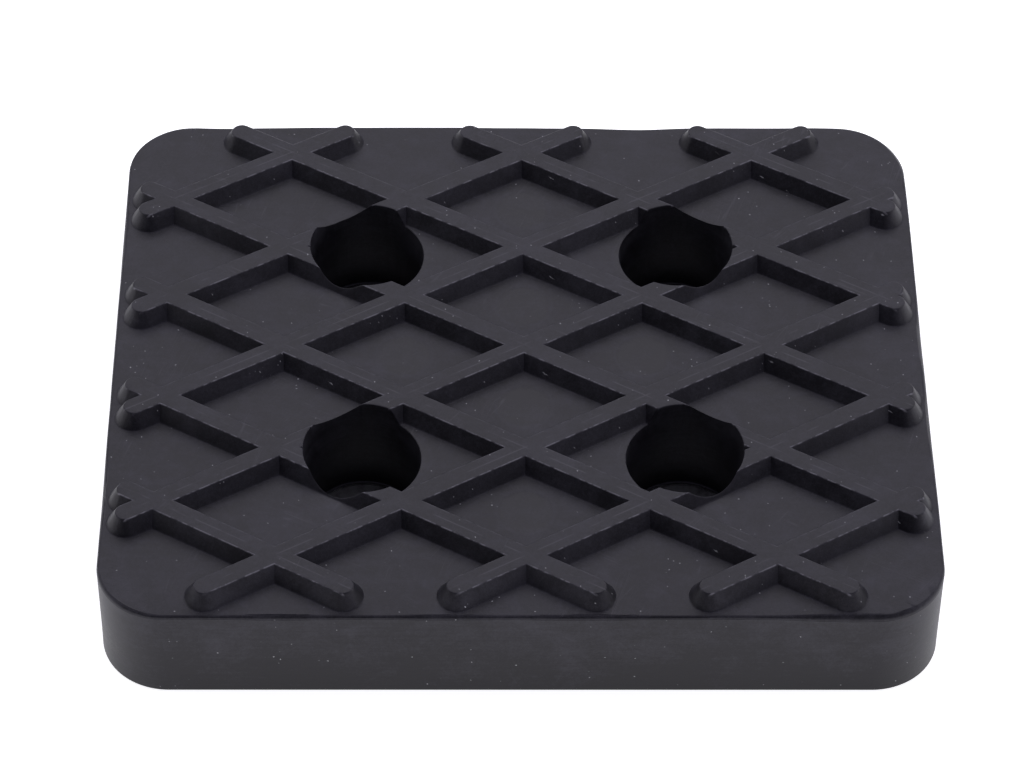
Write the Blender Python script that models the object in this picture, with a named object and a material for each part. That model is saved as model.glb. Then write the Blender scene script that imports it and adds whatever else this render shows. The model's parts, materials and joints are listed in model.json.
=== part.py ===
# Bolt-down rubber grip pad: a moulded rubber block with a raised diamond tread and four
# counterbores, bonded over a steel plate that takes the pull of the screws.
#
# Metres, +Z up. The origin is at the middle of the underside, +X runs along the long side.

import math

import bmesh
import bpy

# Rubber block
WIDTH = 0.120
DEPTH = 0.100
BLOCK_HEIGHT = 0.0162
CORNER_RADIUS = 0.0100
TOP_EDGE_RADIUS = 0.0005
BOTTOM_EDGE_RADIUS = 0.0003

# Diamond tread: two families of parallel ribs that cross on a grid of columns and rows
RIB_HEIGHT = 0.0024
RIB_TOP_WIDTH = 0.0029
RIB_FLANK_RUN = 0.0014        # how far each flank spreads from the rib's top to its foot
COLUMN_PITCH = 0.03535        # between crossings along X
ROW_PITCH = 0.01024           # between rows of crossings along Y
RIBS_EACH_WAY = 7
TREAD_MARGIN = 0.0039         # from the block's side to the middle of a rib's round end
TREAD_CENTRE = (0.0007, 0.0005)   # the mould's tread sits slightly off the block's centre

# Screw positions, each with a wide bore in the rubber and a screw hole in the plate
BORE_RADIUS = 0.0085
BORE_SPACING = (0.0466, 0.0414)
BORE_CENTRE = (0.0005, 0.0006)
SCREW_HOLE_RADIUS = 0.0045
SEAT_RADIUS = 0.0082          # spot face under each screw head, just inside the bore
SEAT_DEPTH = 0.0002

# Steel plate, flush with the underside
PLATE_THICKNESS = 0.0015
PLATE_RIM = 0.0040            # rubber left round the plate
BOND_GAP = 0.0003             # the film of bonding agent between steel and rubber

# Working sizes
TOTAL_HEIGHT = BLOCK_HEIGHT + RIB_HEIGHT
OVERSHOOT = 0.0010            # how far a cutter or a rib's root runs past the face it meets
CORNER_SEGMENTS = 10
EDGE_SEGMENTS = 3
RIB_END_SEGMENTS = 8
BORE_SEGMENTS = 48
SHARP_ANGLE = math.radians(32)


# ---- Outlines -------------------------------------------------------------------------

def arc(centre, radius, start, end, segments):
    """Points on an arc in the XY plane, both ends included."""
    angles = [start + (end - start) * step / segments for step in range(segments + 1)]
    return [(centre[0] + radius * math.cos(a), centre[1] + radius * math.sin(a)) for a in angles]


def rounded_rectangle(width, depth, radius, inset=0.0):
    """Counter-clockwise outline; an inset shrinks it and its corner radius together."""
    reach_x = width / 2 - radius
    reach_y = depth / 2 - radius
    outline = []
    for quarter, (side_x, side_y) in enumerate([(1, 1), (-1, 1), (-1, -1), (1, -1)]):
        start = quarter * math.pi / 2
        corner = (side_x * reach_x, side_y * reach_y)
        outline += arc(corner, radius - inset, start, start + math.pi / 2, CORNER_SEGMENTS)
    return outline


def long_round_end(start, end, radius):
    """Counter-clockwise outline of a bar from start to end with round ends."""
    heading = math.atan2(end[1] - start[1], end[0] - start[0])
    quarter = math.pi / 2
    far = arc(end, radius, heading - quarter, heading + quarter, RIB_END_SEGMENTS)
    near = arc(start, radius, heading + quarter, heading + 3 * quarter, RIB_END_SEGMENTS)
    return far + near


def circle(centre, radius):
    return arc(centre, radius, 0.0, 2 * math.pi, BORE_SEGMENTS)[:-1]


# ---- Solids ---------------------------------------------------------------------------

def add_loft(mesh, sections):
    """Adds a closed solid through (outline, z) sections of equal point count, lowest first."""
    rings = [[mesh.verts.new((x, y, z)) for x, y in outline] for outline, z in sections]
    for lower, upper in zip(rings, rings[1:]):
        for i in range(len(lower)):
            j = (i + 1) % len(lower)
            mesh.faces.new((lower[i], lower[j], upper[j], upper[i]))
    mesh.faces.new(list(reversed(rings[0])))
    mesh.faces.new(rings[-1])


def make_object(name, solids):
    """One object from a list of solids, each a list of sections."""
    mesh = bmesh.new()
    for sections in solids:
        add_loft(mesh, sections)
    data = bpy.data.meshes.new(name)
    mesh.to_mesh(data)
    mesh.free()
    thing = bpy.data.objects.new(name, data)
    bpy.context.collection.objects.link(thing)
    return thing


def make_cutter(name, solids):
    cutter = make_object(name, solids)
    cutter.hide_render = True
    cutter.display_type = 'WIRE'
    return cutter


def combine(target, other, operation):
    modifier = target.modifiers.new(other.name, 'BOOLEAN')
    modifier.operation = operation
    modifier.object = other
    modifier.solver = 'EXACT'


def finish(thing, material):
    """Applies the object's modifiers, shades it smooth up to its real edges and paints it."""
    evaluated = thing.evaluated_get(bpy.context.evaluated_depsgraph_get())
    thing.data = bpy.data.meshes.new_from_object(evaluated)
    thing.data.name = thing.name
    thing.modifiers.clear()
    thing.data.shade_smooth()
    thing.data.set_sharp_from_angle(angle=SHARP_ANGLE)
    thing.data.materials.clear()
    thing.data.materials.append(material)


def make_material(name, colour, roughness, metallic):
    material = bpy.data.materials.new(name)
    material.use_nodes = True
    shader = material.node_tree.nodes['Principled BSDF']
    shader.inputs['Base Color'].default_value = (*colour, 1.0)
    shader.inputs['Roughness'].default_value = roughness
    shader.inputs['Metallic'].default_value = metallic
    return material


# ---- Rubber pad -----------------------------------------------------------------------

def bore_places():
    """Centres of the four screw positions."""
    places = []
    for side_y in (-0.5, 0.5):
        for side_x in (-0.5, 0.5):
            x = BORE_CENTRE[0] + side_x * BORE_SPACING[0]
            y = BORE_CENTRE[1] + side_y * BORE_SPACING[1]
            places.append((x, y))
    return places


def block_sections():
    """The block from its underside up, with both long edges rounded."""
    sections = []
    for step in range(EDGE_SEGMENTS + 1):
        angle = math.pi / 2 * step / EDGE_SEGMENTS
        inset = BOTTOM_EDGE_RADIUS * (1 - math.sin(angle))
        z = BOTTOM_EDGE_RADIUS * (1 - math.cos(angle))
        sections.append((inset, z))
    for step in range(EDGE_SEGMENTS + 1):
        angle = math.pi / 2 * step / EDGE_SEGMENTS
        inset = TOP_EDGE_RADIUS * (1 - math.cos(angle))
        z = BLOCK_HEIGHT - TOP_EDGE_RADIUS * (1 - math.sin(angle))
        sections.append((inset, z))
    return [(rounded_rectangle(WIDTH, DEPTH, CORNER_RADIUS, inset), z) for inset, z in sections]


def rib_line(number, lean):
    """Ends of one rib's centre line, which stops where it leaves the tread's rectangle.

    The line climbs (lean 1) or falls (lean -1) by two rows for each column, and number
    counts the lines up the Y axis, 0 being the one through the tread's centre.
    """
    slope = lean * 2 * ROW_PITCH / COLUMN_PITCH
    offset = TREAD_CENTRE[1] + number * 2 * ROW_PITCH - slope * TREAD_CENTRE[0]
    limit_x = WIDTH / 2 - TREAD_MARGIN
    limit_y = DEPTH / 2 - TREAD_MARGIN
    crossings = sorted((side * limit_y - offset) / slope for side in (-1, 1))
    start_x = max(-limit_x, crossings[0])
    end_x = min(limit_x, crossings[1])
    return (start_x, slope * start_x + offset), (end_x, slope * end_x + offset)


def rib_sections(number, lean, top):
    """A rib with sloping flanks and conical ends, rooted a little below the block's face."""
    start, end = rib_line(number, lean)
    spread = RIB_FLANK_RUN / RIB_HEIGHT
    sections = []
    for z in (BLOCK_HEIGHT - OVERSHOOT, top):
        radius = RIB_TOP_WIDTH / 2 + spread * (TOTAL_HEIGHT - z)
        sections.append((long_round_end(start, end, radius), z))
    return sections


def make_rubber_pad(material):
    pad = make_object('rubber_pad', [block_sections()])
    half = RIBS_EACH_WAY // 2
    # Each family rises to a different height, and one flat cut then levels them both
    for name, lean, extra in (('rising_ribs', 1, 0.0003), ('falling_ribs', -1, 0.0005)):
        top = TOTAL_HEIGHT + extra
        ribs = [rib_sections(number, lean, top) for number in range(-half, half + 1)]
        combine(pad, make_cutter(name, ribs), 'UNION')
    outline = rounded_rectangle(WIDTH + 2 * OVERSHOOT, DEPTH + 2 * OVERSHOOT, CORNER_RADIUS)
    leveller = [(outline, TOTAL_HEIGHT), (outline, TOTAL_HEIGHT + OVERSHOOT)]
    combine(pad, make_cutter('tread_leveller', [leveller]), 'DIFFERENCE')

    recess_depth = PLATE_THICKNESS + BOND_GAP
    outline = rounded_rectangle(WIDTH - 2 * PLATE_RIM, DEPTH - 2 * PLATE_RIM,
                                CORNER_RADIUS - PLATE_RIM)
    recess = [(outline, -OVERSHOOT), (outline, recess_depth)]
    combine(pad, make_cutter('plate_recess', [recess]), 'DIFFERENCE')

    bores = []
    for place in bore_places():
        outline = circle(place, BORE_RADIUS)
        bores.append([(outline, recess_depth - OVERSHOOT), (outline, TOTAL_HEIGHT + OVERSHOOT)])
    combine(pad, make_cutter('bores', bores), 'DIFFERENCE')

    finish(pad, material)


# ---- Steel backing plate --------------------------------------------------------------

def make_backing_plate(material):
    rim = PLATE_RIM + BOND_GAP
    outline = rounded_rectangle(WIDTH - 2 * rim, DEPTH - 2 * rim, CORNER_RADIUS - rim)
    plate = make_object('steel_backing_plate', [[(outline, 0.0), (outline, PLATE_THICKNESS)]])
    holes = []
    seats = []
    for place in bore_places():
        hole = circle(place, SCREW_HOLE_RADIUS)
        seat = circle(place, SEAT_RADIUS)
        holes.append([(hole, -OVERSHOOT), (hole, PLATE_THICKNESS + OVERSHOOT)])
        seats.append([(seat, PLATE_THICKNESS - SEAT_DEPTH), (seat, PLATE_THICKNESS + OVERSHOOT)])
    combine(plate, make_cutter('screw_holes', holes), 'DIFFERENCE')
    combine(plate, make_cutter('screw_seats', seats), 'DIFFERENCE')
    finish(plate, material)


def main():
    for thing in list(bpy.data.objects):
        bpy.data.objects.remove(thing)
    rubber = make_material('black_rubber', (0.022, 0.021, 0.024), 0.5, 0.0)
    steel = make_material('primed_steel', (0.10, 0.10, 0.11), 0.45, 0.8)
    make_rubber_pad(rubber)
    make_backing_plate(steel)


main()
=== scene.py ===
# Bolt-down grip pad: moulded rubber with a diamond tread, and the primed steel plate in its underside
import json
import math

import bmesh
import bpy
import numpy as np
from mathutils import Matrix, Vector, geometry, noise


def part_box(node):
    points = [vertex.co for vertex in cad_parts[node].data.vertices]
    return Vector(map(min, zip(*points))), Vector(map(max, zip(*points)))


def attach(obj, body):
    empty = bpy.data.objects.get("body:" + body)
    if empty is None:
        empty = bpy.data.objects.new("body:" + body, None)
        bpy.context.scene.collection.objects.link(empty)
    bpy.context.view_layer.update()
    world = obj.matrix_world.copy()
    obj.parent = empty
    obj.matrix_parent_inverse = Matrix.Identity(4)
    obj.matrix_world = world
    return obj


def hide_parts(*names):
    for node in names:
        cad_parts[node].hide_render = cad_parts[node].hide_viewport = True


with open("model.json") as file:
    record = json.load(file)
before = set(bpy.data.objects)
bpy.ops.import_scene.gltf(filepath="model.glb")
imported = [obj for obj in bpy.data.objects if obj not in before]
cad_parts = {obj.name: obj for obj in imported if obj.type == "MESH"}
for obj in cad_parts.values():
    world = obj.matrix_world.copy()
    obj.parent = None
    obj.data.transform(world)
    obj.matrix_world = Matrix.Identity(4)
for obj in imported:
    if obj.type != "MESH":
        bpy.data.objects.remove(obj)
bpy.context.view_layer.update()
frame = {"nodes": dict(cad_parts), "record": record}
print("frame loaded:", sorted(frame["nodes"]))

millimetre = 0.001
weldGap = 0.001 * millimetre        # points nearer to each other than this become one
padLow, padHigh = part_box("rubber_pad")
plateLow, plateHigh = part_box("steel_backing_plate")


def screwCentres():
    # the screw holes' boxes in the record say where the four screws go
    centres = []
    for opening in frame["record"]["physics"]["openings"]:
        if opening["name"].startswith("screw_hole"):
            low, high = opening["box_m"]
            centres.append(((low[0] + high[0]) / 2, (low[1] + high[1]) / 2))
    return centres


def arcPoints(centre, radius, start, end, steps):
    angles = np.linspace(start, end, steps + 1)
    return [(centre[0] + radius * math.cos(a), centre[1] + radius * math.sin(a)) for a in angles]


def circlePoints(centre, radius, steps):
    return arcPoints(centre, radius, 0, 2 * math.pi, steps)[:-1]


def quarterTurns(steps):
    # equal turns up to a right angle, without the start
    return [math.pi / 2 * step / steps for step in range(1, steps + 1)]


def subdivided(outline, pitch):
    # the same closed outline with points along its straight runs
    points = []
    for i, start in enumerate(outline):
        end = outline[(i + 1) % len(outline)]
        count = max(1, round(math.dist(start, end) / pitch))
        for step in range(count):
            share = step / count
            points.append((start[0] + (end[0] - start[0]) * share,
                           start[1] + (end[1] - start[1]) * share))
    return points


def roundedRectangle(width, depth, radius, inset, cornerSteps, pitch):
    halfX, halfY = width / 2 - radius, depth / 2 - radius
    points = []
    for quarter, (sideX, sideY) in enumerate([(1, 1), (-1, 1), (-1, -1), (1, -1)]):
        start = quarter * math.pi / 2
        points += arcPoints((sideX * halfX, sideY * halfY), radius - inset,
                            start, start + math.pi / 2, cornerSteps)
    return subdivided(points, pitch)


def insetDistance(x, y, width, depth, radius):
    # how far a point lies inside a rounded rectangle, negative outside it
    besideX = np.abs(x) - (width / 2 - radius)
    besideY = np.abs(y) - (depth / 2 - radius)
    outside = np.hypot(np.maximum(besideX, 0), np.maximum(besideY, 0))
    return radius - outside - np.minimum(np.maximum(besideX, besideY), 0)


class Plan:
    # lines and areas drawn in the XY plane, filled with triangles that follow every line

    def __init__(self):
        self.points = []
        self.edges = []
        self.areas = []
        self.areaNames = []

    def line(self, points, closed=False):
        first = len(self.points)
        self.points += [tuple(point) for point in points]
        count = len(points)
        for i in range(count if closed else count - 1):
            self.edges.append((first + i, first + (i + 1) % count))

    def area(self, name, points):
        # the fill wants every area counter-clockwise
        turns = sum(a[0] * b[1] - b[0] * a[1] for a, b in zip(points, points[1:] + points[:1]))
        first = len(self.points)
        self.points += [tuple(point) for point in (points if turns > 0 else points[::-1])]
        self.areas.append(list(range(first, len(self.points))))
        self.areaNames.append(name)

    def loosePoints(self, points):
        self.points += [tuple(point) for point in points]

    def fill(self, inside, outside):
        # triangles inside one named area and outside another
        scaled = [Vector((x / millimetre, y / millimetre)) for x, y in self.points]
        everything, tolerance = 0, 0.0002
        found = geometry.delaunay_2d_cdt(scaled, self.edges, self.areas, everything, tolerance)
        triangles = []
        for triangle, sources in zip(found[2], found[5]):
            names = {self.areaNames[i] for i in sources}
            if inside in names and outside not in names:
                triangles.append(triangle)
        return [(v.x * millimetre, v.y * millimetre) for v in found[0]], triangles


def addTriangles(mesh, corners, heights, triangles, flip=False):
    used = {i for triangle in triangles for i in triangle}
    verts = {i: mesh.verts.new((*corners[i], heights[i])) for i in sorted(used)}
    for triangle in triangles:
        mesh.faces.new([verts[i] for i in (triangle[::-1] if flip else triangle)])


def openLoops(mesh, test):
    # loops of points along the mesh's open rims, for the rims where the test holds
    rims = [edge for edge in mesh.edges if edge.is_boundary and all(test(v.co) for v in edge.verts)]
    left = dict.fromkeys(rims)      # in the mesh's own order, so that each run gives the same loops
    loops = []
    while left:
        edge = left.popitem()[0]
        loop = list(edge.verts)
        while loop[-1] != loop[0]:
            edge = next(other for other in loop[-1].link_edges if other in left)
            del left[edge]
            loop.append(edge.other_vert(loop[-1]))
        loops.append(loop[:-1])
    return loops


def pullLoop(mesh, loop, move):
    # a band of faces from an open loop to the loop that its points move to
    moved = [mesh.verts.new(move(vert.co)) for vert in loop]
    bridge(mesh, loop, moved)
    return moved


def bridge(mesh, first, second):
    # a band of faces between two loops of as many points
    count = len(first)
    for i in range(count):
        j = (i + 1) % count
        mesh.faces.new((first[i], first[j], second[j], second[i]))


def newObject(name, mesh):
    data = bpy.data.meshes.new(name)
    mesh.to_mesh(data)
    mesh.free()
    thing = bpy.data.objects.new(name, data)
    bpy.context.scene.collection.objects.link(thing)
    return thing


def shadeByArea(thing):
    # flat faces stay flat and only the rounded edges between them turn
    sharpDegrees, largeFacePull = 30, 80
    thing.data.shade_smooth()
    thing.data.set_sharp_from_angle(angle=math.radians(sharpDegrees))
    weighted = thing.modifiers.new("normals by area", "WEIGHTED_NORMAL")
    weighted.keep_sharp = True
    weighted.weight = largeFacePull


rubberShape = {
    "ribTopWidth": 2.9 * millimetre,
    "ribFlankRun": 1.4 * millimetre,
    "ribHeight": 2.4 * millimetre,
    "ribEdgeRadius": 0.24 * millimetre,
    "ribFootRadius": 0.30 * millimetre,
    "ribEndSegments": 14,
    "ribEdgeSegments": 4,
    "columnPitch": 35.35 * millimetre,
    "rowPitch": 10.24 * millimetre,
    "gridReach": (3, 4),                # half columns and rows of the tread each way from its centre
    "ribsEachWay": 7,
    "treadMargin": 3.9 * millimetre,
    "treadCentre": (0.7 * millimetre, 0.5 * millimetre),
    "cornerRadius": 10.0 * millimetre,
    "cornerSegments": 28,
    "topEdgeRadius": (0.42 * millimetre, 1.25 * millimetre),     # crisp in places, slumped in others
    "topEdgeScale": 19 * millimetre,
    "topEdgeMean": 0.42,                # share of the way from crisp to slumped, and how much it varies
    "topEdgeSpread": 1.5,
    "topEdgeSegments": 5,
    "flash": 0.06 * millimetre,         # thin fin where the halves of the mould meet
    "flashTip": 0.02 * millimetre,      # what the fin still stands in from the pad's side
    "flashDrops": (0.05, 0.07, 0.05, 0.09),     # millimetres down from ring to ring over the fin
    "sideRows": 8,
    "bottomEdgeRadius": 0.28 * millimetre,
    "bottomEdgeSegments": 4,
    "pinRadius": 4.2 * millimetre,      # round marks where ejector pins pushed, in the floors of the diamonds
    "pinDepth": 0.05 * millimetre,
    "pinEdge": 0.3 * millimetre,
    "pinArea": (27 * millimetre, 36 * millimetre),
    "pinClearance": 1.0 * millimetre,   # rubber left between a mark and a bore
    "pinSegments": 40,
    "boreRadius": 8.5 * millimetre,
    "boreSegments": 96,
    "boreLipRadius": 0.16 * millimetre,
    "boreFootRadius": 0.30 * millimetre,
    "boreEdgeSegments": 4,
    "boreWallRows": (0.85, 0.72, 0.5, 0.25),    # share of its height that each row down the wall keeps
    "plateRim": 4.0 * millimetre,
    "recessSegments": 16,
    "bondGap": 0.3 * millimetre,
    "meshPitch": 1.6 * millimetre,
    "wander": 0.07 * millimetre,        # how far the rubber strays inwards from true
    "wanderScale": 11 * millimetre,
    "wanderOnTop": 0.6,
    "ripple": 0.25,                     # a finer straying on top of it, as a share, and how much finer
    "rippleFineness": 3.1,
    "edgeSlump": 0.14 * millimetre,     # and how far its upper edge sinks in places
    "slumpFineness": 1.3,
    "slumpReach": 1.3 * millimetre,     # how far down the side the sinking fades out
    "slumpSink": 0.7,
}
padWidth = padHigh.x - padLow.x
padDepth = padHigh.y - padLow.y
blockTop = padHigh.z - rubberShape["ribHeight"]
ribSlope = 2 * rubberShape["rowPitch"] / rubberShape["columnPitch"]
boreCentres = screwCentres()


def ribCentreLine(number, lean):
    # number counts the ribs up the short side, and lean says whether they climb or fall to the right
    shape = rubberShape
    slope = lean * ribSlope
    centreX, centreY = shape["treadCentre"]
    offset = centreY + number * 2 * shape["rowPitch"] - slope * centreX
    limitX = padWidth / 2 - shape["treadMargin"]
    limitY = padDepth / 2 - shape["treadMargin"]
    crossings = sorted((side * limitY - offset) / slope for side in (-1, 1))
    startX = max(-limitX, crossings[0])
    endX = min(limitX, crossings[1])
    return (startX, slope * startX + offset), (endX, slope * endX + offset)


def ribCentreLines():
    half = rubberShape["ribsEachWay"] // 2
    return [ribCentreLine(number, lean) for lean in (1, -1) for number in range(-half, half + 1)]


def ribProfile():
    # (distance from the centre line, height over the block), with the edge and the foot rounded
    shape = rubberShape
    height = shape["ribHeight"]
    lean = math.atan2(height, shape["ribFlankRun"])
    edge, foot = shape["ribEdgeRadius"], shape["ribFootRadius"]
    edgeStart = shape["ribTopWidth"] / 2 - edge * math.tan(lean / 2)
    footEnd = shape["ribTopWidth"] / 2 + shape["ribFlankRun"] + foot * math.tan(lean / 2)
    steps = shape["ribEdgeSegments"]
    turns = [lean * step / steps for step in range(steps + 1)]
    points = [(edgeStart + edge * math.sin(turn), height - edge * (1 - math.cos(turn))) for turn in turns]
    points += [(footEnd - foot * math.sin(turn), foot * (1 - math.cos(turn))) for turn in turns[::-1]]
    return points


def barOutline(start, end, radius):
    # a closed line at one distance from a rib's centre line
    heading = math.atan2(end[1] - start[1], end[0] - start[0])
    quarter = math.pi / 2
    steps = rubberShape["ribEndSegments"]
    outline = arcPoints(end, radius, heading - quarter, heading + quarter, steps)
    outline += arcPoints(start, radius, heading + quarter, heading + 3 * quarter, steps)
    return subdivided(outline, rubberShape["meshPitch"])


def distanceToRibs(x, y, lines):
    nearest = np.full(len(x), np.inf)
    for (startX, startY), (endX, endY) in lines:
        alongX, alongY = endX - startX, endY - startY
        share = ((x - startX) * alongX + (y - startY) * alongY) / (alongX ** 2 + alongY ** 2)
        share = np.clip(share, 0, 1)
        apart = np.hypot(x - startX - share * alongX, y - startY - share * alongY)
        nearest = np.minimum(nearest, apart)
    return nearest


def distanceToBores(x, y):
    # from the wall of the nearest bore, negative inside it
    nearest = np.full(np.shape(x), np.inf)
    for centreX, centreY in boreCentres:
        nearest = np.minimum(nearest, np.hypot(x - centreX, y - centreY))
    return nearest - rubberShape["boreRadius"]


def gridPlaces(parity):
    # places of the tread's grid: ribs cross where column and row add up to an even number (parity 0),
    # and the diamonds have their middles where they add up to an odd one (parity 1)
    shape = rubberShape
    columns, rows = shape["gridReach"]
    places = []
    for column in range(-columns, columns + 1):
        for row in range(-rows, rows + 1):
            if (column + row) % 2 == parity:
                places.append((shape["treadCentre"][0] + column * shape["columnPitch"] / 2,
                               shape["treadCentre"][1] + row * shape["rowPitch"]))
    return places


def pinCentres():
    # the middles of the diamonds that no bore cuts into, away from the pad's sides
    shape = rubberShape
    reachX, reachY = shape["pinArea"]
    clear = shape["pinRadius"] + shape["pinClearance"]
    return [(x, y) for x, y in gridPlaces(1)
            if abs(x) < reachX and abs(y) < reachY and distanceToBores(x, y) > clear]


def pinDrop(x, y):
    # the marks are shallow, with a soft edge
    shape = rubberShape
    drop = np.zeros(len(x))
    for centreX, centreY in pinCentres():
        inside = (shape["pinRadius"] - np.hypot(x - centreX, y - centreY)) / shape["pinEdge"]
        drop = np.maximum(drop, shape["pinDepth"] * np.clip(inside, 0, 1))
    return drop


def roundingDrop(distance, radius):
    # how much a rounded edge falls away at a distance from the wall it turns into
    inside = np.clip(radius - distance, 0, radius)
    return radius - np.sqrt(np.maximum(radius ** 2 - inside ** 2, 0))


def blockOutline(inset):
    shape = rubberShape
    return roundedRectangle(padWidth, padDepth, shape["cornerRadius"], inset, shape["cornerSegments"],
                            shape["meshPitch"])


def upperEdgeRadius(x, y):
    shape = rubberShape
    crisp, slumped = shape["topEdgeRadius"]
    seed = 0.04
    cloud = noise.noise(Vector((x, y, seed)) / shape["topEdgeScale"])
    share = shape["topEdgeMean"] + shape["topEdgeSpread"] * cloud
    return crisp + (slumped - crisp) * min(1, max(0, share)) ** 2


def upperEdgeLine(share):
    # a line along the rounded upper edge, from its outside at 0 to its inside at 1
    points = []
    for x, y in blockOutline(rubberShape["flash"]):
        inwards = outwardNormal(x, y) * (-share * upperEdgeRadius(x, y))
        points.append((x + inwards.x, y + inwards.y))
    return points


def sideInset(x, y):
    return insetDistance(x, y, padWidth, padDepth, rubberShape["cornerRadius"])


def drawTread(plan, lines, profile):
    # every step of the ribs' profile, the middles of the ribs, and the creases where two ribs meet
    pitch = rubberShape["meshPitch"]
    for start, end in lines:
        for distance, height in profile:
            plan.line(barOutline(start, end, distance), closed=True)
        middle = subdivided([start, end], pitch)
        plan.loosePoints(middle[:len(middle) // 2])
    reach = profile[-1][0] + pitch / 2
    alongX = reach / math.sin(math.atan(ribSlope))
    alongY = reach / math.cos(math.atan(ribSlope))
    for x, y in gridPlaces(0):
        plan.line([(x - alongX, y), (x + alongX, y)])
        plan.line([(x, y - alongY), (x, y + alongY)])


def drawBoresAndPins(plan):
    shape = rubberShape
    for centre in boreCentres:
        plan.area("bore", circlePoints(centre, shape["boreRadius"], shape["boreSegments"]))
        for turn in quarterTurns(shape["boreEdgeSegments"]):
            lip = shape["boreLipRadius"] * (1 - math.cos(turn))
            plan.line(circlePoints(centre, shape["boreRadius"] + lip, shape["boreSegments"]), closed=True)
    for centre in pinCentres():
        for inset in (0, shape["pinEdge"]):
            plan.line(circlePoints(centre, shape["pinRadius"] - inset, shape["pinSegments"]), closed=True)


def drawUpperFace(lines, profile):
    shape = rubberShape
    plan = Plan()
    drawTread(plan, lines, profile)
    drawBoresAndPins(plan)
    plan.area("block", blockOutline(shape["flash"]))
    for turn in quarterTurns(shape["topEdgeSegments"]):
        plan.line(upperEdgeLine(1 - math.cos(turn)), closed=True)
    columns = np.arange(-padWidth / 2, padWidth / 2, shape["meshPitch"])
    rows = np.arange(-padDepth / 2, padDepth / 2, shape["meshPitch"])
    x, y = (grid.ravel() for grid in np.meshgrid(columns, rows))
    clear = shape["meshPitch"] * 0.45       # loose points keep this far from the lines
    free = distanceToRibs(x, y, lines) > profile[-1][0] + clear
    free &= distanceToBores(x, y) > clear
    free &= sideInset(x, y) > shape["flash"] + shape["topEdgeRadius"][1] + clear
    plan.loosePoints(zip(x[free], y[free]))
    return plan


def upperHeights(x, y, lines, profile):
    shape = rubberShape
    distances, heights = zip(*profile)
    height = blockTop + np.interp(distanceToRibs(x, y, lines), distances, heights) - pinDrop(x, y)
    height -= roundingDrop(distanceToBores(x, y), shape["boreLipRadius"])
    radius = np.array([upperEdgeRadius(*point) for point in zip(x, y)])
    return height - roundingDrop(sideInset(x, y) - shape["flash"], radius)


def sideRings():
    # (inset, drop, share of the height kept) from ring to ring down the block's side
    shape = rubberShape
    flash, tip, foot = shape["flash"], shape["flashTip"], shape["bottomEdgeRadius"]
    insets = (flash, tip, tip, flash)
    rings = [(inset, drop * millimetre, 1) for inset, drop in zip(insets, shape["flashDrops"])]
    rows = shape["sideRows"]
    rings += [(flash, 0, 1 - 1 / (rows - row)) for row in range(rows)]
    before = 0
    for turn in quarterTurns(shape["bottomEdgeSegments"]):
        rings.append((flash + foot * (1 - math.cos(turn)), foot * (math.sin(turn) - math.sin(before)), 1))
        before = turn
    return rings


def outwardNormal(x, y):
    # square to the nearest point of the block's outline
    besideX = max(abs(x) - (padWidth / 2 - rubberShape["cornerRadius"]), 0)
    besideY = max(abs(y) - (padDepth / 2 - rubberShape["cornerRadius"]), 0)
    reach = math.hypot(besideX, besideY)
    return Vector((math.copysign(besideX, x) / reach, math.copysign(besideY, y) / reach, 0))


def closeUnderside(mesh, recessTop, outerLoop, boreLoops):
    # the flat rim, the wall of the plate's recess, and the recess's ceiling with the bores in it
    shape = rubberShape
    rim = shape["plateRim"]
    recess = roundedRectangle(padWidth - 2 * rim, padDepth - 2 * rim, shape["cornerRadius"] - rim, 0,
                              shape["recessSegments"], shape["meshPitch"] * 2)
    wall = [mesh.verts.new((x, y, 0)) for x, y in recess]
    pullLoop(mesh, wall, lambda co: Vector((co.x, co.y, recessTop)))
    underside = Plan()
    underside.area("pad", [vert.co.xy for vert in outerLoop])
    underside.area("recess", recess)
    corners, triangles = underside.fill("pad", "recess")
    addTriangles(mesh, corners, [0] * len(corners), triangles, flip=True)
    ceiling = Plan()
    ceiling.area("recess", recess)
    for loop in boreLoops:
        ceiling.area("bore", [vert.co.xy for vert in loop])
    corners, triangles = ceiling.fill("recess", "bore")
    addTriangles(mesh, corners, [recessTop] * len(corners), triangles, flip=True)


def boreProfile():
    # (share of the height kept, narrowing, rise over the foot) down a bore's wall and round its foot
    shape = rubberShape
    radius = shape["boreFootRadius"]
    rings = [(share, 0, radius) for share in shape["boreWallRows"]]
    for turn in [0] + quarterTurns(shape["boreEdgeSegments"]):
        rings.append((0, radius * (1 - math.cos(turn)), radius * (1 - math.sin(turn))))
    return rings


def boreWallPoint(co, share, narrowing, foot):
    centre = min(boreCentres, key=lambda place: math.dist(place, co.xy))
    away = Vector((co.x - centre[0], co.y - centre[1])).normalized()
    away *= rubberShape["boreRadius"] - narrowing
    return Vector((centre[0] + away.x, centre[1] + away.y, foot + (co.z - foot) * share))


def sidePoint(co, inset, drop, share):
    foot = rubberShape["bottomEdgeRadius"]
    moved = co + outwardNormal(co.x, co.y) * (sideInset(co.x, co.y) - inset)
    return Vector((moved.x, moved.y, foot + (co.z - foot) * share - drop))


def cloudShare(place):
    # a smooth value from 0 to 1 that changes from place to place
    return 0.5 + 0.5 * noise.noise(place)


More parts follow.
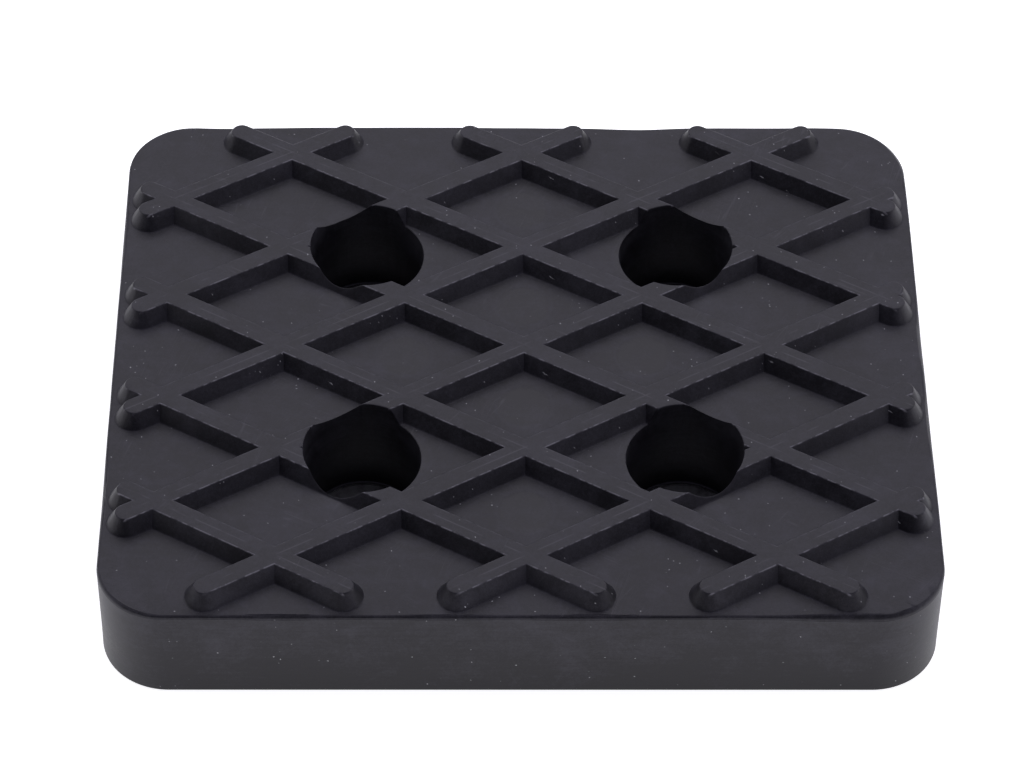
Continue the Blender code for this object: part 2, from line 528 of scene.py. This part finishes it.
def letWander(mesh):
    # moulded rubber is never quite true: every face but the underside strays a little inwards
    shape = rubberShape
    wanderSeed, slumpSeed = Vector((3.1, 7.7, 1.9)), Vector((9.2, 4.4, 6.3))
    upperFaces, boreWalls = blockTop - 0.1 * millimetre, -0.02 * millimetre
    sideBand, stillFoot, slumpFoot = 0.6 * millimetre, 3 * millimetre, 2 * millimetre
    for vert in mesh.verts:
        x, y, z = vert.co
        place = vert.co / shape["wanderScale"]
        amount = shape["wander"] * cloudShare(place + wanderSeed)
        amount += shape["wander"] * shape["ripple"] * cloudShare(place * shape["rippleFineness"])
        if z > upperFaces and distanceToBores(x, y) > boreWalls:
            vert.co.z -= amount * shape["wanderOnTop"]
        if sideInset(x, y) < sideBand:
            lift = min(1, vert.co.z / stillFoot)
            slump = 0
            if vert.co.z > slumpFoot:
                slump = shape["edgeSlump"] * cloudShare(place * shape["slumpFineness"] + slumpSeed)
                slump *= math.exp((vert.co.z - blockTop) / shape["slumpReach"])
            vert.co -= outwardNormal(x, y) * (amount * lift + slump)
            vert.co.z -= slump * shape["slumpSink"]


def makeRubberPad():
    shape = rubberShape
    lines = ribCentreLines()
    profile = ribProfile()
    mesh = bmesh.new()
    corners, triangles = drawUpperFace(lines, profile).fill("block", "bore")
    x, y = np.array(corners).T
    addTriangles(mesh, corners, upperHeights(x, y, lines, profile), triangles)
    sliver = 0.006 * millimetre
    bmesh.ops.remove_doubles(mesh, verts=mesh.verts, dist=sliver)
    print("upper face:", len(mesh.verts), "points")

    recessTop = plateHigh.z + shape["bondGap"]
    near = 0.05 * millimetre
    boreLoops = openLoops(mesh, lambda co: abs(distanceToBores(co.x, co.y)) < near)
    for share, narrowing, rise in boreProfile():
        boreLoops = [pullLoop(mesh, loop, lambda co: boreWallPoint(co, share, narrowing, recessTop + rise))
                     for loop in boreLoops]
    outerLoop, = openLoops(mesh, lambda co: sideInset(co.x, co.y) < shape["flash"] + near)
    for ring in sideRings():
        outerLoop = pullLoop(mesh, outerLoop, lambda co: sidePoint(co, *ring))
    closeUnderside(mesh, recessTop, outerLoop, boreLoops)
    bmesh.ops.remove_doubles(mesh, verts=mesh.verts, dist=weldGap)
    letWander(mesh)
    bmesh.ops.recalc_face_normals(mesh, faces=mesh.faces)
    return newObject("rubberPad", mesh)


plateShape = {
    "rim": 4.3 * millimetre,            # from the pad's side to the plate's edge
    "cornerRadius": 5.7 * millimetre,
    "cornerSegments": 14,
    "edgeRadius": 0.18 * millimetre,
    "edgeEase": 0.3,                    # where the edge's middle ring lies, as a share of its radius
    "holeRadius": 4.5 * millimetre,
    "holeEdge": 0.16 * millimetre,
    "holeSegments": 72,
    "seatRadius": 8.2 * millimetre,
    "seatDepth": 0.2 * millimetre,
    "meshPitch": 4.0 * millimetre,
}


def plateOutline(inset):
    shape = plateShape
    return roundedRectangle(padWidth - 2 * shape["rim"], padDepth - 2 * shape["rim"],
                            shape["cornerRadius"], inset, shape["cornerSegments"], shape["meshPitch"])


def plateCircle(centre, radius):
    return circlePoints(centre, radius, plateShape["holeSegments"])


def fillPlateFace(mesh, height, outline, holeRadius, flip):
    # a flat face of the plate with four round holes in it
    face = Plan()
    face.area("plate", outline)
    for centre in boreCentres:
        face.area("hole", plateCircle(centre, holeRadius))
    corners, triangles = face.fill("plate", "hole")
    addTriangles(mesh, corners, [height] * len(corners), triangles, flip)


def plateEdgeSteps():
    # (inset, height) up the plate's edge, eased above and below
    edge, top = plateShape["edgeRadius"], plateHigh.z
    ease = edge * plateShape["edgeEase"]
    return [(edge, 0), (ease, ease), (0, edge), (0, top - edge), (ease, top - ease), (edge, top)]


def screwHoleSteps():
    # (radius, height) down from the top: spot face, its floor, the screw hole and the broken edge below
    shape = plateShape
    top, seat = plateHigh.z, plateHigh.z - shape["seatDepth"]
    hole, edge = shape["holeRadius"], shape["holeEdge"]
    return [(shape["seatRadius"], top), (shape["seatRadius"], seat), (hole + edge, seat),
            (hole, seat - edge), (hole, edge), (hole + edge, 0)]


def makeSteelPlate():
    shape = plateShape
    mesh = bmesh.new()
    rings = [[mesh.verts.new((x, y, z)) for x, y in plateOutline(inset)] for inset, z in plateEdgeSteps()]
    for centre in boreCentres:
        walls = [[mesh.verts.new((x, y, z)) for x, y in plateCircle(centre, radius)]
                 for radius, z in screwHoleSteps()]
        for upper, lower in zip(walls, walls[1:]):
            bridge(mesh, upper, lower)
    for lower, upper in zip(rings, rings[1:]):
        bridge(mesh, lower, upper)
    outline = plateOutline(shape["edgeRadius"])
    fillPlateFace(mesh, 0, outline, shape["holeRadius"] + shape["holeEdge"], flip=True)
    fillPlateFace(mesh, plateHigh.z, outline, shape["seatRadius"], flip=False)
    bmesh.ops.remove_doubles(mesh, verts=mesh.verts, dist=weldGap)
    bmesh.ops.recalc_face_normals(mesh, faces=mesh.faces)
    return newObject("steelPlate", mesh)


class Flow:
    # one socket of a shader, so that masks are written as plain sums

    def __init__(self, shader, socket):
        self.shader = shader
        self.socket = socket

    def math(self, operation, *values):
        return self.shader.node("Math", {"operation": operation}, dict(enumerate(values)))

    def __add__(self, other):
        return self.math("ADD", self, other)

    def __sub__(self, other):
        return self.math("SUBTRACT", self, other)

    def __rsub__(self, other):
        return self.math("SUBTRACT", other, self)

    def __mul__(self, other):
        return self.math("MULTIPLY", self, other)

    def __truediv__(self, other):
        return self.math("DIVIDE", self, other)

    def __rtruediv__(self, other):
        return self.math("DIVIDE", other, self)

    def __abs__(self):
        return self.math("ABSOLUTE", self)

    __radd__ = __add__
    __rmul__ = __mul__

    def outlet(self, index):
        # another output of the node that this one comes from
        return Flow(self.shader, self.socket.node.outputs[index])

    def fraction(self):
        return self.math("FRACT", self)

    def diagonal(self, other):
        return self.math("SQRT", self * self + other * other)

    def lowest(self, other):
        return self.math("MINIMUM", self, other)

    def highest(self, other):
        return self.math("MAXIMUM", self, other)

    def step(self, start, end):
        # 0 below start and 1 above end, or the other way round where end is the lower
        return self.shader.node("MapRange", {"interpolation_type": "SMOOTHSTEP"},
                                {"Value": self, "From Min": start, "From Max": end})


class Shader:
    # the nodes of one material or of the world

    def __init__(self, tree):
        self.tree = tree

    def node(self, kind, settings=None, inputs=None, output=0):
        node = self.tree.nodes.new("ShaderNode" + kind)
        for name, value in (settings or {}).items():
            setattr(node, name, value)
        for name, value in (inputs or {}).items():
            self.feed(node.inputs[name], value)
        return Flow(self, node.outputs[output])

    def feed(self, socket, value):
        if isinstance(value, Flow):
            self.tree.links.new(value.socket, socket)
        else:
            socket.default_value = value

    def position(self, stretch=(1, 1, 1)):
        # place on the object in millimetres, squeezed along the axes for streaks
        place = self.node("TexCoord", output=3)
        scale = [factor / millimetre for factor in stretch]
        return self.node("VectorMath", {"operation": "MULTIPLY"}, {0: place, 1: scale})

    def split(self, vector):
        parts = self.node("SeparateXYZ", inputs={0: vector})
        return [parts.outlet(axis) for axis in range(3)]

    def cells(self, place, size):
        # distance to the nearest of the points strewn over the plan, and that point's own chance
        points = self.node("TexVoronoi", {"voronoi_dimensions": "2D"}, {"Vector": place, "Scale": 1 / size})
        return points, self.split(points.outlet(1))[0]

    def noise(self, place, size, detail=2, roughness=0.5, distortion=0):
        # clouds of about this size in millimetres
        return self.node("TexNoise", inputs={"Vector": place, "Scale": 1 / size, "Detail": detail,
                                             "Roughness": roughness, "Distortion": distortion})

    def scratches(self, place, look):
        # long thin lines in patches, some lying each way
        found = None
        for turn, seed in look["turns"]:
            turned = self.node("VectorRotate", {"rotation_type": "Z_AXIS"}, {"Vector": place, "Angle": turn})
            squeezed = self.node("VectorMath", {"operation": "MULTIPLY_ADD"},
                                 {0: turned, 1: look["stretch"], 2: (seed, seed, 0)})
            line = abs(self.noise(squeezed, look["size"], 1, 0.4) - 0.5).step(look["width"], 0.002)
            patchSize = look["patchSize"] + seed * look["patchGrowth"]
            line = line * self.noise(place, patchSize, 2).step(*look["patches"])
            found = line if found is None else found.highest(line)
        return found

    def blend(self, mask, first, second):
        return self.node("Mix", {"data_type": "RGBA"}, {0: mask, 6: first, 7: second}, output=2)

    def bump(self, height, strength, distance, below=None):
        inputs = {"Height": height, "Strength": strength, "Distance": distance * millimetre}
        if below:
            inputs["Normal"] = below
        return self.node("Bump", inputs=inputs)


def newMaterial(name, constants):
    material = bpy.data.materials.new(name)
    material.use_nodes = True
    surface = material.node_tree.nodes["Principled BSDF"]
    for socket, value in constants.items():
        surface.inputs[socket].default_value = value
    return material, surface, Shader(material.node_tree)


def ribDistance(x, y):
    # millimetres from the nearest rib's centre line, from the tread's grid
    shape = rubberShape
    square = 1 / math.hypot(1, ribSlope)
    pitch = 2 * shape["rowPitch"] / millimetre * square
    centreX, centreY = (value / millimetre for value in shape["treadCentre"])
    distances = []
    for lean in (ribSlope, -ribSlope):
        across = (y - x * lean - (centreY - lean * centreX)) * square
        distances.append(abs((across / pitch + 0.5).fraction() - 0.5) * pitch)
    return distances[0].lowest(distances[1])


def diamondDistance(x, y):
    # millimetres from the middle of the nearest diamond
    shape = rubberShape
    column, row = shape["columnPitch"] / millimetre, 2 * shape["rowPitch"] / millimetre
    centreX, centreY = (value / millimetre for value in shape["treadCentre"])
    nearest = []
    for shift in (0, 0.5):
        offX = (((x - centreX) / column + (0.5 + shift)).fraction() - 0.5) * column
        offY = (((y - centreY) / row + shift).fraction() - 0.5) * row
        nearest.append(offX.diagonal(offY))
    return nearest[0].lowest(nearest[1])


def boreDistance(x, y):
    # millimetres from the nearest bore's axis
    nearest = None
    for centreX, centreY in boreCentres:
        reach = (x - centreX / millimetre).diagonal(y - centreY / millimetre)
        nearest = reach if nearest is None else nearest.lowest(reach)
    return nearest


rubberFinish = {
    "colour": (0.0040, 0.0038, 0.0052, 1),
    "hazeColour": (0.034, 0.033, 0.041, 1),     # bloom that works its way out of the rubber
    "dustColour": (0.40, 0.40, 0.41, 1),
    "wornColour": (0.085, 0.082, 0.096, 1),
    # pale colour of the ribs' upper edges: a painted highlight, partly rubbing
    "edgeColour": (0.19, 0.185, 0.205, 1),
    "roughness": 0.44,
    "specular": 0.29,
    "sheenTint": (0.955, 0.925, 1, 1),
    "baseHaze": -0.06,
    "haze": {               # what each cause adds to the bloom, with the foot of the sides taking some away as a painted shade
        "clouds": 0.33,
        "patches": 0.28,
        "wipes": 0.20,
        "mottle": 0.22,
        "grain": 0.9,
        "flowLines": 0.7,
        "sideBlotches": 0.25,
        # painted shade: the sides darker towards the bottom
        "sideFoot": -0.32,
        "ribFoot": 0.22,
        "pinRing": 0.16,
        "pinDisc": -0.14,
        "boreWall": 0.25,
    },
    # how strongly the ribs' upper edges turn pale, as painted highlight and partly rubbing
    "edgeWear": 0.68,
    "midlineWear": 0.35,
    "midlineHalfWidth": 0.16,       # millimetres
    "crumbPitch": 0.95,
    "crumbGroups": (4.5, 0.66, 0.70),       # size of the groups, and where in their clouds they begin
    "speckPitch": 2.1,
    "speckStrength": 0.7,
    "dustShake": 0.3,               # how ragged the crumbs are
    "scratchStrength": 0.2,
    "scratches": {
        "turns": ((0.5, 4.0), (-0.9, 31.0), (1.9, 57.0)),       # radians, and a seed for each
        "stretch": (0.06, 2.4, 0.3),
        "size": 2.2,
        "width": 0.012,
        "patchSize": 7,
        "patchGrowth": 1 / 30,
        "patches": (0.56, 0.66),
    },
}


def pinMarks(x, y, floors):
    # the round marks of the ejector pins: a ring and the disc inside it, only where the shape has them
    shape = rubberShape
    radius = shape["pinRadius"] / millimetre
    reachX, reachY = (value / millimetre for value in shape["pinArea"])
    fromPin = diamondDistance(x, y)
    floors = floors * abs(x).step(reachX + 0.1, reachX) * abs(y).step(reachY + 0.1, reachY)
    return abs(fromPin - radius).step(0.45, 0.05) * floors, fromPin.step(radius, radius - 0.8) * floors


def rubberDust(shader, place, wall, facesUp, fromBore):
    # crumbs of dust, in small loose groups, and fine specks between them
    finish = rubberFinish
    shake = (finish["dustShake"],) * 3
    spread = shader.node("Mix", {"data_type": "VECTOR"}, {0: facesUp, 4: wall, 5: place}, output=1)
    shaken = shader.node("VectorMath", {"operation": "MULTIPLY_ADD"},
                         {0: shader.noise(place, 0.35, 1).outlet(1), 1: shake, 2: spread})
    crumb, chance = shader.cells(shaken, finish["crumbPitch"])
    groupSize, groupStart, groupFull = finish["crumbGroups"]
    groups = shader.noise(place, groupSize, 2, 0.6).step(groupStart, groupFull)
    crumbs = crumb.step(0.15, 0.04) * chance.step(0.45, 0.95) * groups
    speck, chance = shader.cells(shaken, finish["speckPitch"])
    specks = speck.step(0.065, 0.02) * chance.step(0.88, 0.99) * finish["speckStrength"]
    return crumbs.highest(specks) * fromBore.step(0.1, 0.4)


def makeRubber():
    finish = rubberFinish
    material, surface, shader = newMaterial("blackRubber", {
        "Specular IOR Level": finish["specular"], "Specular Tint": finish["sheenTint"]})
    place = shader.position()
    x, y, z = shader.split(place)
    forward, up = shader.split(shader.node("NewGeometry", output=1))[1:]
    top, block = padHigh.z / millimetre, blockTop / millimetre
    facesUp, onSide = up.step(0.75, 0.95), up.step(0.3, 0.1)
    onRib = z.step(top - 0.5, top - 0.15)
    floors = z.step(block + 0.5, block + 0.2) * facesUp
    fromRib = ribDistance(x, y)
    fromBore = boreDistance(x, y) - rubberShape["boreRadius"] / millimetre

    # cloudy bloom, thicker in some places than in others, and thinner where the ejector pins pushed; the
    # sides are made darker towards their foot as painted shade
    grain = shader.noise(place, 0.22, 2, 0.6)
    patches = shader.noise(place, 3.2, 3, 0.6, 0.4).step(0.35, 0.75)
    wipes = shader.noise(shader.position((0.16, 1.1, 1.1)), 1.5, 3, 0.55, 0.5).step(0.45, 0.78)
    flow = shader.noise(shader.position((0.07, 0.07, 1.3)), 0.7, 3, 0.6)     # as the rubber filled the mould
    pinRing, pinDisc = pinMarks(x, y, floors)
    causes = {
        "clouds": shader.noise(place, 16, 4, 0.62, 0.8).step(0.38, 0.72),
        "patches": patches,
        "wipes": wipes * facesUp,
        "mottle": shader.noise(place, 0.55, 3, 0.65).step(0.35, 0.7),
        "grain": grain - 0.5,
        "flowLines": (flow - 0.5) * onSide,
        "sideBlotches": shader.noise(place, 7, 3, 0.7, 1).step(0.58, 0.72) * onSide,
        # painted shade: darker towards the bottom of the sides, where the floor they reflect lies in shade
        "sideFoot": z.step(13, 0) * onSide,
        "ribFoot": abs(fromRib - 4.2).step(1.1, 0.2) * floors * patches,
        "pinRing": pinRing,
        "pinDisc": pinDisc,
        "boreWall": fromBore.step(0.05, -0.1),
    }
    haze = sum((causes[name] * amount for name, amount in finish["haze"].items()), finish["baseHaze"])
    colour = shader.blend(haze, finish["colour"], finish["hazeColour"])

    # ribs are paler along their upper edges, partly rubbed and partly a painted highlight that is strongest
    # on the edges facing the front, with a broken line down the middle of their tops
    ribEdge = rubberShape["ribTopWidth"] / 2 / millimetre - 0.07
    rubbedAndLitEdge = abs(fromRib - ribEdge).step(0.17, 0.05) * onRib
    rubbedAndLitEdge = rubbedAndLitEdge * (shader.noise(place, 1.3, 2, 0.65).step(0.40, 0.62) * 0.85 + 0.15)
    # painted highlight: the edges facing the front get most of the pallor
    rubbedAndLitEdge = rubbedAndLitEdge * (forward.step(0.0, -0.25) * 0.8 + 0.2)
    midline = fromRib.step(finish["midlineHalfWidth"], 0.03) * onRib
    midline = midline * shader.noise(place, 5, 2).step(0.46, 0.62)
    colour = shader.blend(midline * finish["midlineWear"], colour, finish["wornColour"])
    colour = shader.blend(rubbedAndLitEdge * finish["edgeWear"], colour, finish["edgeColour"])

    wall = shader.node("CombineXYZ", inputs={0: x + y, 1: z})
    dust = rubberDust(shader, place, wall, facesUp, fromBore)
    colour = shader.blend(dust, colour, finish["dustColour"])

    # thin scratches from boots and boxes
    scratches = shader.scratches(place, finish["scratches"]) * facesUp
    colour = shader.blend(scratches * finish["scratchStrength"], colour, finish["wornColour"])
    shader.feed(surface.inputs["Base Color"], colour)

    rough = haze * 0.10 + (grain - 0.5) * 0.12 + dust * 0.3 + rubbedAndLitEdge * 0.06 - pinDisc * 0.03
    shader.feed(surface.inputs["Roughness"], rough + finish["roughness"])

    # the grain of the mould, its faint waviness, and flow lines round the sides
    waves = shader.noise(place, 1.1, 2, 0.5)
    normal = shader.bump(grain, 0.16, 0.05)
    normal = shader.bump(waves + flow * onSide * 0.6, 0.3, 0.04, normal)
    shader.feed(surface.inputs["Normal"], normal)
    return material


steelFinish = {
    "primer": (0.040, 0.040, 0.042, 1),
    "thinPrimer": (0.085, 0.083, 0.083, 1),
    "dust": (0.135, 0.135, 0.135, 1),
    "bareSteel": (0.42, 0.41, 0.40, 1),
    "rust": (0.16, 0.062, 0.026, 1),
    "roughness": 0.42,
    "specular": 0.5,
    "dustStrength": 0.8,
    "rustStrength": 0.8,
    "turnMarks": 0.25,              # rings left by washers, and how many to a millimetre
    "turnMarkPitch": 1.9,
    "turnMarkReach": (8.2, 6.5),
    "bareReach": (0.55, 0.15),      # millimetres beyond the screw hole where bare steel and rust fade out
    "rustReach": (1.6, 0.5),
    "scratchStrength": 0.5,
    "scratches": {
        "turns": ((0.2, 3.0), (-0.6, 19.0), (1.3, 44.0)),
        "stretch": (0.03, 1.5, 1),
        "size": 2.5,
        "width": 0.010,
        "patchSize": 14,
        "patchGrowth": 1 / 20,
        "patches": (0.60, 0.68),
    },
}


def makeSteel():
    finish = steelFinish
    material, surface, shader = newMaterial("primedSteel", {"Specular IOR Level": finish["specular"]})
    place = shader.position()
    x, y, z = shader.split(place)
    underneath = z.step(0.9, 0.4)
    grain = shader.noise(place, 0.35, 2, 0.6)
    clouds = shader.noise(place, 9, 4, 0.6, 0.6).step(0.35, 0.7)
    rolled = shader.noise(shader.position((0.04, 1.6, 1)), 1.2, 3, 0.6)
    colour = shader.blend(clouds * 0.5 + (rolled - 0.5) * 0.9 + (grain - 0.5) * 0.5,
                          finish["primer"], finish["thinPrimer"])

    dusty = z.step(1.0, 1.2) * shader.noise(place, 1.5, 3, 0.6).step(0.3, 0.6)
    colour = shader.blend(dusty * finish["dustStrength"], colour, finish["dust"])

    # bright where screws and their washers have turned, rusty beside it
    fromAxis = boreDistance(x, y)
    ragged = shader.noise(place, 0.8, 4, 0.7)
    hole = plateShape["holeRadius"] / millimetre
    bareEnd, rustEnd = ([hole + reach for reach in finish[key]] for key in ("bareReach", "rustReach"))
    bare = (fromAxis + (ragged - 0.5) * 1.6).step(*bareEnd) * underneath
    rings = (fromAxis * finish["turnMarkPitch"] + (ragged - 0.5) * 0.25).fraction()
    turned = abs(rings - 0.5).step(0.16, 0.04) * fromAxis.step(*finish["turnMarkReach"])
    turned = turned * shader.noise(place, 2.5, 2).step(0.5, 0.62)
    bare = bare.highest(turned * finish["turnMarks"] * underneath)
    rust = (fromAxis + (ragged - 0.5) * 3).step(*rustEnd) * shader.noise(place, 2, 3, 0.6).step(0.5, 0.64)
    rust = rust * underneath * (1 - bare)

    # long scratches from sliding about on a bench
    scratches = shader.scratches(place, finish["scratches"]) * underneath
    bare = bare.highest(scratches * finish["scratchStrength"])
    colour = shader.blend(rust * finish["rustStrength"], colour, finish["rust"])
    colour = shader.blend(bare, colour, finish["bareSteel"])
    shader.feed(surface.inputs["Base Color"], colour)
    shader.feed(surface.inputs["Metallic"], bare)

    rough = clouds * 0.12 + (grain - 0.5) * 0.2 + rust * 0.3 - bare * 0.1
    shader.feed(surface.inputs["Roughness"], rough + finish["roughness"])
    normal = shader.bump(grain + rolled * 0.4, 0.2, 0.04)
    normal = shader.bump(scratches * -1 + rust * ragged - bare * 0.3, 0.4, 0.04, normal)
    shader.feed(surface.inputs["Normal"], normal)
    return material


cameraPlace = {
    "lens": 144.04,
    "sensor": 36,
    "clip": (0.01, 20),
    "distance": 0.60582,
    "elevation": 46.84,
    "azimuth": -0.847,
    "roll": 0.673,
    # millimetres right of, behind and above the middle of the tread's foot
    "aim": (-1.7305, -3.0757, -2.9075),
}


def makeCamera():
    data = bpy.data.cameras.new("camera")
    data.lens = cameraPlace["lens"]
    data.sensor_width = cameraPlace["sensor"]
    data.clip_start, data.clip_end = cameraPlace["clip"]
    camera = bpy.data.objects.new("camera", data)
    bpy.context.scene.collection.objects.link(camera)
    elevation = math.radians(cameraPlace["elevation"])
    azimuth = math.radians(cameraPlace["azimuth"])
    back = Vector((math.sin(azimuth) * math.cos(elevation),
                   -math.cos(azimuth) * math.cos(elevation), math.sin(elevation)))
    aim = Vector((*rubberShape["treadCentre"], blockTop)) + Vector(cameraPlace["aim"]) * millimetre
    camera.location = aim + back * cameraPlace["distance"]
    camera.rotation_euler = back.to_track_quat("Z", "Y").to_euler()
    camera.rotation_euler.rotate_axis("Z", math.radians(cameraPlace["roll"]))
    bpy.context.scene.camera = camera


studio = {
    "floorSize": 6,
    "floorGap": 0.05 * millimetre,
    "floorColour": (0.9, 0.9, 0.9, 1),
    "floorRoughness": 0.8,
    "floorGlow": 0.80,
    "coveredGlow": (0.2, 0.2, 0.2, 1),      # what is left of the glow under the pad
    "coverFade": 5,         # millimetres over which it fades, from 5 mm inside the pad's sides
    "tint": (0.960, 0.935, 1.17),
    "backLevel": 0.58,      # brightness of the studio's walls behind, before and over the pad
    "frontLevel": 0.12,
    "rightLevel": 0.40,     # what the right of the front wall adds
    "roofLevel": 0.25,
    "frontToBack": (-0.55, 0.6),        # where one level turns into the other, as parts of a unit direction
    "rightFromTo": (0.0, 0.8),
    "rightFade": (0.3, -0.3),
    "roofFromTo": (0.75, 1.0),
    "panels": {             # place, size and power of each light
        "back panel": ((0, 1.15, 1.25), (2.2, 1.0), 12),
        "left panel": ((-1.1, 0.1, 0.35), (0.9, 0.5), 2.5),
        "right panel": ((1.1, 0.1, 0.35), (0.9, 0.5), 3),
    },
}


def makeFloor():
    bpy.ops.mesh.primitive_plane_add(size=studio["floorSize"], location=(0, 0, padLow.z - studio["floorGap"]))
    floor = bpy.context.object
    floor.name = "floor"
    # a white table lit from below, dark where the pad covers it, so that nothing on it casts a visible shadow
    material, surface, shader = newMaterial("paleFloor", {
        "Base Color": studio["floorColour"], "Roughness": studio["floorRoughness"],
        "Emission Strength": studio["floorGlow"]})
    x, y = shader.split(shader.position())[:2]
    fade = studio["coverFade"]
    edgeX, edgeY = padWidth / 2 / millimetre - fade, padDepth / 2 / millimetre - fade
    covered = abs(x).step(edgeX, edgeX - fade) * abs(y).step(edgeY, edgeY - fade)
    glow = shader.blend(covered, (1, 1, 1, 1), studio["coveredGlow"])
    shader.feed(surface.inputs["Emission Color"], glow)
    floor.data.materials.append(material)


def makeLight(name, place, size, power):
    data = bpy.data.lights.new(name, "AREA")
    data.shape = "RECTANGLE"
    data.size, data.size_y = size
    data.energy = power
    light = bpy.data.objects.new(name, data)
    light.location = place
    light.rotation_euler = Vector(place).to_track_quat("Z", "Y").to_euler()
    bpy.context.scene.collection.objects.link(light)


def makeLights():
    for name, (place, size, power) in studio["panels"].items():
        makeLight(name, place, size, power)
    world = bpy.data.worlds.new("studio")
    bpy.context.scene.world = world
    world.use_nodes = True
    shader = Shader(world.node_tree)
    x, y, z = shader.split(shader.node("TexCoord", output=0))
    rise = studio["backLevel"] - studio["frontLevel"]
    level = y.step(*studio["frontToBack"]) * rise + studio["frontLevel"]
    level = level + z.step(*studio["roofFromTo"]) * studio["roofLevel"]
    level = level + x.step(*studio["rightFromTo"]) * y.step(*studio["rightFade"]) * studio["rightLevel"]
    background = world.node_tree.nodes["Background"]
    background.inputs["Color"].default_value = (*studio["tint"], 1)
    shader.feed(background.inputs["Strength"], level)


def dress(piece, material, node, slot):
    piece.data.materials.append(material)
    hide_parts(node)
    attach(piece, "root")
    print(piece.name + ":", len(piece.data.vertices), "points,", slot)


bpy.context.scene.view_settings.view_transform = "Standard"
makeCamera()
makeFloor()
makeLights()
print("camera, floor and lights are up")

rubberPad = makeRubberPad()
shadeByArea(rubberPad)
dress(rubberPad, makeRubber(), "rubber_pad", "rubber")

steelPlate = makeSteelPlate()
shadeByArea(steelPlate)
dress(steelPlate, makeSteel(), "steel_backing_plate", "primed_steel")
